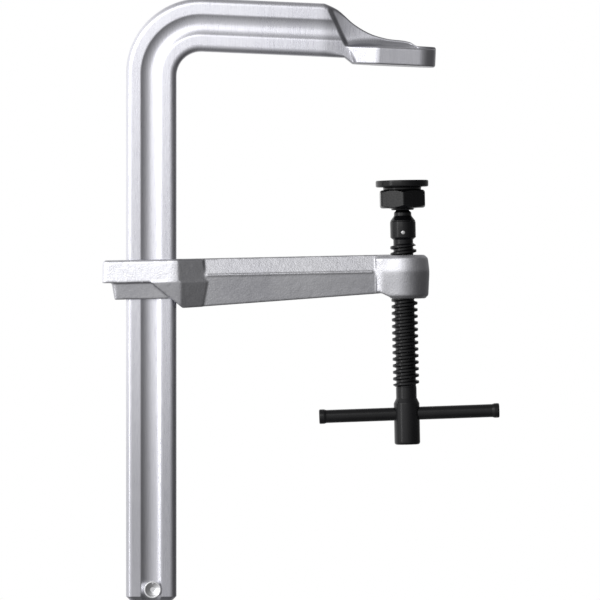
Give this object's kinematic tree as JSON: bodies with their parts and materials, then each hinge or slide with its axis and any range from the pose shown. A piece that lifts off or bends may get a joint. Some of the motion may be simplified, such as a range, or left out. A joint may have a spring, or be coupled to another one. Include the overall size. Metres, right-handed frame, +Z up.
{
  "type": "f clamp",
  "caption": "Forged F clamp: a bent rail with a fixed jaw, a sliding arm, and a screw with a swivel pad and a tommy bar.",
  "frame": {"origin": "on the fixed jaw's face, where the screw's line meets it", "axes": "+Z up along the rail, +X from the rail out to the jaws, +Y across the rail's thickness; the rail stands on the -X side"},
  "size_m": [0.2422, 0.0322, 0.3668],
  "materials": {
    "plated_steel": "satin",
    "black_steel": "satin",
    "bright_steel": "satin"
  },
  "bodies": {
    "frame": {"rail": "plated_steel", "stop_pin": "plated_steel"},
    "arm": {"sliding_arm": "plated_steel"},
    "stud": {"ball_stud": "black_steel"},
    "screw": {"spindle": "black_steel", "stud_pin": "bright_steel"},
    "pad": {"pressure_pad": "black_steel", "pad_nut": "black_steel"},
    "handle": {"tommy_bar": "black_steel"}
  },
  "joints": [
    {"name": "arm_slide", "type": "slide", "parent": "frame", "child": "arm", "axis": [0, 0, 1], "range_m": [-0.1705, 0.012]},
    {"name": "screw_feed", "type": "slide", "parent": "arm", "child": "stud", "axis": [-0.0208, 0, 0.9998], "range_m": [-0.008, 0.053]},
    {"name": "screw_turn", "type": "hinge", "parent": "stud", "child": "screw", "pos_m": [0, 0, -0.1287], "axis": [-0.0208, 0, 0.9998], "range_deg": [-720, 4770]},
    {"name": "pad_tilt", "type": "hinge", "parent": "stud", "child": "pad", "pos_m": [-0.00099, 0, -0.08121], "axis": [0, 1, 0], "range_deg": [-8, 8]},
    {"name": "bar_slide", "type": "slide", "parent": "screw", "child": "handle", "axis": [0.9994, 0, 0.0356], "range_m": [-0.044, 0.041]}
  ],
  "couplings": [
    {"joint": "screw_feed", "follows": "screw_turn", "m_per_rad": 0.00063662}
  ]
}
